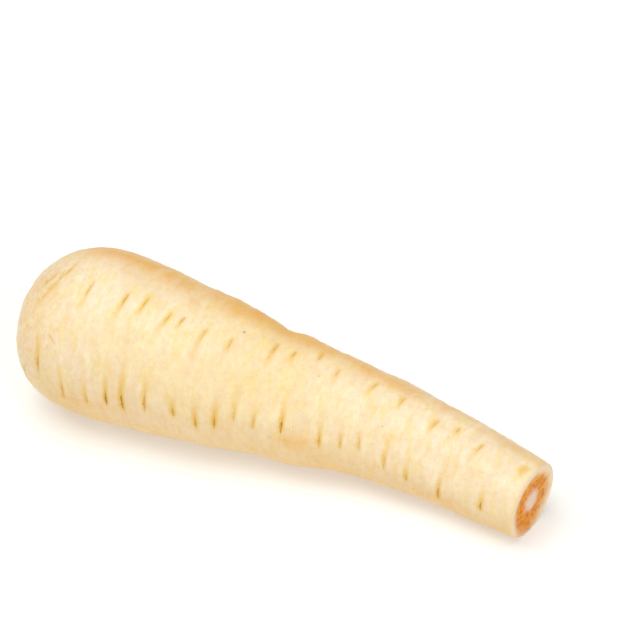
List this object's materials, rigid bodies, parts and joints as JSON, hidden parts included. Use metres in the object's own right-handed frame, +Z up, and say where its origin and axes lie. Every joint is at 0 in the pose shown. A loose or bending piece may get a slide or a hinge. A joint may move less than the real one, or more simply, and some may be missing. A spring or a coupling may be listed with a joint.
{
  "type": "parsnip",
  "caption": "Raw parsnip lying on its side: a tapering, gently bent root with a sunken leaf crown at the wide end, a cut tip and slit-like side-root scars.",
  "frame": {"origin": "centre of the object's box in x and y, on the surface that it rests on", "axes": "+X along the root from the leaf crown to the cut tip, +Z up; the root lies on its side"},
  "size_m": [0.1744, 0.0535, 0.0542],
  "materials": {
    "root_skin": null
  },
  "bodies": {
    "root": {"parsnip": "root_skin"}
  },
  "joints": []
}
